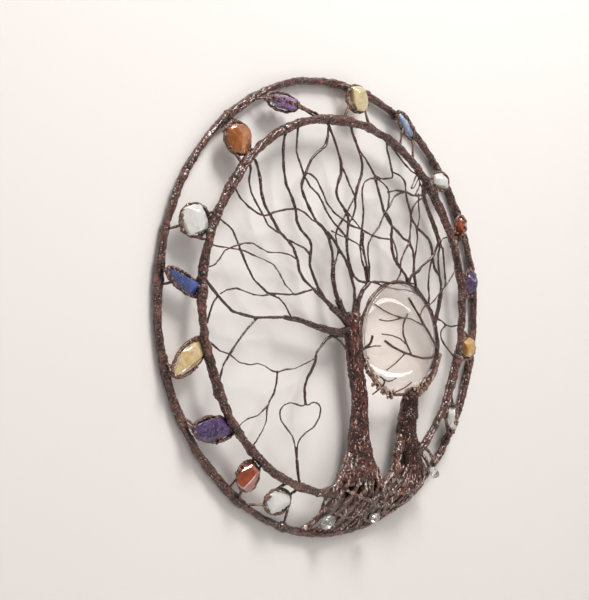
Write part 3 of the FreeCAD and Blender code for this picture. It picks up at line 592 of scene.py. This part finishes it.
# Each stone: look, record slot, cuts, squareness, pointedness, tear, roughness.
STONE_SHAPES = {
    "citrine_top": ("pale_citrine", "citrine", 10, 1.5, 0.0, 0.0, 0.03),
    "blade_northeast": ("pale_blade", "pale_blade", 8, 0.4, 0.35, 0.0, 0.03),
    "quartz_northeast": ("clear_quartz", "clear_quartz", 10, 0.4, 0.0, 0.1, 0.04),
    "carnelian_east": ("carnelian", "carnelian", 8, 0.6, 0.0, 0.0, 0.03),
    "amethyst_east": ("amethyst", "amethyst", 12, 0.4, 0.1, 0.0, 0.03),
    "citrine_east": ("ochre_citrine", "citrine", 8, 0.4, 0.0, 0.0, 0.04),
    "quartz_southeast": ("clear_quartz", "clear_quartz", 12, 0.6, 0.1, 0.0, 0.05),
    "quartz_south": ("clear_quartz", "clear_quartz", 10, 0.4, 0.1, 0.1, 0.03),
    "carnelian_south": ("carnelian", "carnelian", 16, 1.0, 0.0, 0.0, 0.03),
    "amethyst_southwest": ("amethyst", "amethyst", 14, 0.8, 0.28, 0.0, 0.03),
    "citrine_west": ("golden_citrine", "citrine", 10, 0.2, 0.40, 0.0, 0.03),
    "kyanite_west": ("kyanite", "kyanite", 6, 3.0, 0.0, 0.0, 0.02),
    "quartz_west": ("clear_quartz", "clear_quartz", 14, 0.8, 0.0, 0.0, 0.04),
    "carnelian_northwest": ("amber_carnelian", "carnelian", 8, 0.3, 0.0, 0.28, 0.02),
    "amethyst_northwest": ("rough_amethyst", "amethyst", 16, 0.6, 0.1, 0.0, 0.16),
}


def make_stones():
    """Every stone with its cup, and knobs of clay round the cup."""
    looks = {}
    for name, (pale, deep, vein, clear) in STONE_LOOKS.items():
        grain = BANDED_GRAIN if name in BANDED else 160.0
        looks[name] = stone_material(name, pale, deep, vein, clear, grain)
    for number, (stone, shape) in enumerate(STONE_SHAPES.items()):
        look, slot, cuts, square, pointed, tear, rough = shape
        make_stone("stone_" + stone, looks[look], slot, 41 + number, cuts, square, pointed, tear, rough)
        cup = "cup_" + stone
        skin = remeshed(cup + "_skin", [cup], 0.36 * MM, 2)
        swell(skin, lambda p, n: knobs(p, 0.35 * MM, 0.12 * MM, 70 + number) + 0.05 * MM)
        dress(skin, CUP, "cup_clay", cup)
        make_bezel(stone, 90 + number)
    make_chips(looks["root_quartz"])


def make_chips(look):
    """The clear chips among the roots."""
    chips = remeshed("root_chips_gem", ["stone_root_chips"], 0.5 * MM, 1)
    swell(chips, lambda p, n: noise(p, 3.0 * MM, 5) * 0.6 * MM)
    dress(chips, look, "clear_quartz", "stone_root_chips")


# ---------------------------------------------------------------- moon

def moon_profile(reach, depth):
    """Half of the moon's outline as steps away from its axis and out from its back."""
    girdle = depth * 0.2
    rise = depth - girdle
    ball = (reach * reach + rise * rise) / (2.0 * rise)
    profile = [(0.0, 0.0), (reach * 0.6, 0.0), (reach - 0.8 * MM, 0.0), (reach - 0.2 * MM, 0.3 * MM),
               (reach, 0.9 * MM), (reach, girdle - 0.5 * MM)]
    for step in range(1, 33):
        away = reach * math.cos(step / 32.0 * math.pi / 2.0)
        profile.append((away, girdle + math.sqrt(ball * ball - away * away) - (ball - rise)))
    return profile


def lathed(name, middle, back, profile, around):
    """A solid turned about the axis that points at the viewer; only its two tips lie on the axis."""
    build = bmesh.new()
    rings = []
    for away, out in profile:
        if away < 1e-6:
            rings.append([build.verts.new((middle.x, back - out, middle.z))])
            continue
        ring = []
        for step in range(around):
            turn = 2.0 * math.pi * step / around
            ring.append(build.verts.new((middle.x + away * math.cos(turn), back - out,
                                         middle.z + away * math.sin(turn))))
        rings.append(ring)
    for low, high in zip(rings, rings[1:]):
        for step in range(around):
            after = (step + 1) % around
            if len(low) == 1:
                build.faces.new((low[0], high[step], high[after]))
            elif len(high) == 1:
                build.faces.new((low[step], high[0], low[after]))
            else:
                build.faces.new((low[step], high[step], high[after], low[after]))
    bmesh.ops.recalc_face_normals(build, faces=build.faces)
    mesh = bpy.data.meshes.new(name)
    build.to_mesh(mesh)
    build.free()
    smooth_shaded(mesh)
    return mesh


def make_moon():
    """The glass dome, with a soft edge."""
    middle = (MOON_LOW + MOON_HIGH) / 2.0
    profile = moon_profile((MOON_HIGH.x - MOON_LOW.x) / 2.0, MOON_HIGH.y - MOON_LOW.y)
    mesh = lathed("moon_dome", middle, MOON_HIGH.y, profile, 160)
    dome = dress(new_object("moon_dome", mesh), GLASS, "moon_glass", "moon_glass")
    dome.visible_shadow = False         # clear glass lets the light through to the wall
    return dome


def bead_run(name, start, end, width, seed, outward=0.0):
    """Small clay beads pressed along the moon's rim between two angles, in degrees."""
    middle = (MOON_LOW + MOON_HIGH) / 2.0
    reach = (MOON_HIGH.x - MOON_LOW.x) / 2.0 + 1.2 * MM + outward
    chance = np.random.default_rng(seed)
    build = bmesh.new()
    count = int(abs(end - start) * 1.9)
    for step in range(count):
        turn = math.radians(start + (end - start) * chance.random())
        size = chance.uniform(0.55, 1.15) * MM
        away = reach + chance.normal() * width
        deep = MOON_HIGH.y - (3.0 + chance.normal() * 1.3) * MM
        spot = (middle.x + away * math.cos(turn), deep, middle.z + away * math.sin(turn))
        place = Matrix.Translation(spot)
        squash = squashed(chance, 1.3, 1.0)
        bmesh.ops.create_icosphere(build, subdivisions=2, radius=size, matrix=place @ squash)
    mesh = bpy.data.meshes.new(name)
    build.to_mesh(mesh)
    build.free()
    points = read_points(mesh)
    write_points(mesh, points + 0.18 * MM * noise(points, 0.7 * MM, seed)[:, None] * read_normals(mesh))
    smooth_shaded(mesh)
    return dress(new_object(name, mesh), BEAD, "beaded_clay")


# ---------------------------------------------------------------- the work

def make_work():
    """Every piece of the wall hanging."""
    make_hoop("outer", CENTRE, OUTER_REACH - 2.3 * MM, 26.0, 1, CLAY)
    make_hoop("inner", INNER_CENTRE, (INNER_HIGH.x - INNER_LOW.x) / 2.0 - 2.4 * MM, 22.0, 3, CLAY)
    make_trunk("left_trunk_clay", 5, TRUNK)
    make_trunk("right_trunk_clay", 6, DARK_TRUNK)
    groups = ["west_bough", "west_sprigs", "northwest_bough", "north_bough", "crown_limbs", "middle_limbs",
              "moon_side_bough", "east_limbs", "northeast_limbs", "southwest_limbs", "heart_wire",
              "moon_top_wires", "moon_claws"]
    for number, node in enumerate(groups):
        make_limbs(node, 20 + number, LIMB, 0.14 if node in ("heart_wire", "moon_claws") else 0.24)
    for number, node in enumerate(["left_roots", "right_roots"]):
        skin = remeshed(node + "_skin", [node], 0.45 * MM, 3)
        swell(skin, lambda p, n: knobs(p, 0.5 * MM, 0.18 * MM, 60 + number))
        dress(skin, ROOT, "root_clay", node)
    rim = remeshed("moon_rim_skin", ["moon_rim_wire"], 0.4 * MM, 2)
    swell(rim, lambda p, n: knobs(p, 0.3 * MM, 0.15 * MM, 71))
    dress(rim, CLAY, "bark_clay", "moon_rim_wire")
    beads = remeshed("moon_bead_skin", ["moon_rim_beads"], 0.4 * MM, 2)
    swell(beads, lambda p, n: knobs(p, 0.9 * MM, 0.4 * MM, 72) + 0.3 * MM)
    dress(beads, BEAD, "beaded_clay", "moon_rim_beads")
    for node in ["outer_hoop_wire", "inner_hoop_wire", "left_trunk_armature", "right_trunk_armature"]:
        NODES[node].data.materials.clear()
        NODES[node].data.materials.append(STEEL)
    make_moon()
    bead_run("rim_beads_east", -74.0, -12.0, 0.9 * MM, 81)
    bead_run("rim_beads_west", 198.0, 256.0, 1.3 * MM, 82, 1.8 * MM)
    make_stones()


# ---------------------------------------------------------------- stage, light and camera

ARCH_AWAY = 1.2         # metres from the moon to the lights that it mirrors
ARCH_WIDTH = 0.085      # metres across the middle light of an arch
ARCH_LIGHTS = 8


def quad(name, corners, material):
    """One flat stage panel."""
    mesh = bpy.data.meshes.new(name)
    mesh.from_pydata([tuple(corner) for corner in corners], [], [(0, 1, 2, 3)])
    panel = new_object(name, mesh)
    panel.data.materials.append(material)
    return panel


def one_sided(material):
    """Makes a stage panel see-through from behind, so that it hides nothing in a back view."""
    tree = material.node_tree
    out = tree.nodes["Material Output"]
    shader = tree.nodes["Principled BSDF"]
    side = add(tree, "ShaderNodeNewGeometry")
    clear = add(tree, "ShaderNodeBsdfTransparent")
    both = add(tree, "ShaderNodeMixShader")
    tree.links.new(side.outputs["Backfacing"], both.inputs["Fac"])
    tree.links.new(shader.outputs["BSDF"], both.inputs[1])
    tree.links.new(clear.outputs["BSDF"], both.inputs[2])
    tree.links.new(both.outputs["Shader"], out.inputs["Surface"])


def make_stage():
    """A pale wall behind the work and a pale floor far below it."""
    wall_y = CAD_BOX[1][1] + 0.5 * MM
    wide = 3.0
    floor_z = CENTRE.z - 0.9
    wall_paint = plain_material("wall_paint", (0.80, 0.765, 0.745), 0.9)
    one_sided(wall_paint)
    quad("stage_wall", [(-wide, wall_y, floor_z), (wide, wall_y, floor_z), (wide, wall_y, 2.0),
                        (-wide, wall_y, 2.0)], wall_paint)
    floor_paint = plain_material("floor_paint", (0.80, 0.78, 0.76), 0.8)
    quad("stage_floor", [(-wide, -wide, floor_z), (wide, -wide, floor_z), (wide, wide, floor_z),
                         (-wide, wide, floor_z)], floor_paint)


def area_light(name, place, target, size, power, colour):
    """A round soft light aimed at a point."""
    lamp = bpy.data.lights.new(name, "AREA")
    lamp.shape = "DISK"
    lamp.size = size
    lamp.energy = power
    lamp.color = colour
    thing = bpy.data.objects.new(name, lamp)
    bpy.context.scene.collection.objects.link(thing)
    thing.location = place
    thing.rotation_euler = (Vector(target) - Vector(place)).to_track_quat("-Z", "Y").to_euler()
    return thing


def arch_way(middle_turn, half_turn, height, droop, share):
    """A direction on an arch seen from the moon; share runs from -1 to 1 along it, angles are in degrees."""
    turn = math.radians(middle_turn + half_turn * share)
    rise = math.radians(height - droop * share * share)
    return Vector((math.sin(turn) * math.cos(rise), -math.cos(turn) * math.cos(rise), math.sin(rise)))


def arch_lights(name, middle_turn, half_turn, height, droop, power):
    """A row of thin lights along an arch; the glass moon mirrors it as a crescent."""
    middle = (MOON_LOW + MOON_HIGH) / 2.0
    count = ARCH_LIGHTS
    for step in range(count):
        start = arch_way(middle_turn, half_turn, height, droop, 2.0 * step / count - 1.0)
        end = arch_way(middle_turn, half_turn, height, droop, 2.0 * (step + 1) / count - 1.0)
        back = ((start + end) / 2.0).normalized()
        share = (2.0 * step + 1.0) / count - 1.0
        width = ARCH_WIDTH * math.sqrt(1.0 - share * share)
        length = (end - start).length * ARCH_AWAY
        thing = area_light(name + str(step), middle + back * ARCH_AWAY, middle, length,
                           power * width / ARCH_WIDTH / count, (1.0, 0.99, 0.97))
        thing.data.shape = "RECTANGLE"
        thing.data.size_y = width
        along = end - start
        along = (along - back * along.dot(back)).normalized()
        thing.rotation_euler = Matrix((along, back.cross(along), back)).transposed().to_euler()


def make_lights():
    """A soft key from above in front, a weak fill and a pale surround."""
    area_light("key", (0.0, -0.75, CENTRE.z + 1.15), CENTRE, 0.55, 19.0, (1.0, 0.985, 0.96))
    area_light("fill", (-1.3, -1.2, CENTRE.z + 0.2), CENTRE, 1.2, 1.5, (1.0, 0.98, 0.97))
    arch_lights("window", 20.0, 34.0, 37.0, 16.0, 1.9)
    arch_lights("card", 22.0, 38.0, -33.0, -11.0, 1.9)
    world = bpy.data.worlds.new("surround")
    world.use_nodes = True
    world.node_tree.nodes["Background"].inputs["Color"].default_value = (1.0, 0.97, 0.955, 1.0)
    world.node_tree.nodes["Background"].inputs["Strength"].default_value = 0.37
    bpy.context.scene.world = world


CAMERA_TURN = math.radians(-44.5)       # round the work from straight in front, to the left
CAMERA_TILT = math.radians(-2.64)       # slightly below the middle of the work
CAMERA_AWAY = 0.9
CAMERA_AIM = (-35.4, 0.0, 2.9)          # millimetres from the middle of the outer hoop
CAMERA_LENS = 84.6


def make_camera():
    """The camera at the picture's angle."""
    camera = bpy.data.objects.new("camera", bpy.data.cameras.new("camera"))
    bpy.context.scene.collection.objects.link(camera)
    camera.data.lens = CAMERA_LENS
    camera.data.sensor_width = 36.0
    camera.data.clip_start = 0.01
    aim = CENTRE + Vector(CAMERA_AIM) * MM
    aim.y = 0.0
    back = Vector((math.sin(CAMERA_TURN) * math.cos(CAMERA_TILT),
                   -math.cos(CAMERA_TURN) * math.cos(CAMERA_TILT),
                   math.sin(CAMERA_TILT)))
    camera.location = aim + back * CAMERA_AWAY
    camera.rotation_euler = (-back).to_track_quat("-Z", "Y").to_euler()
    bpy.context.scene.camera = camera


def set_view():
    """Plain colour handling, so that pale walls stay pale."""
    bpy.context.scene.view_settings.view_transform = "Standard"


make_work()
make_stage()
make_lights()
make_camera()
set_view()
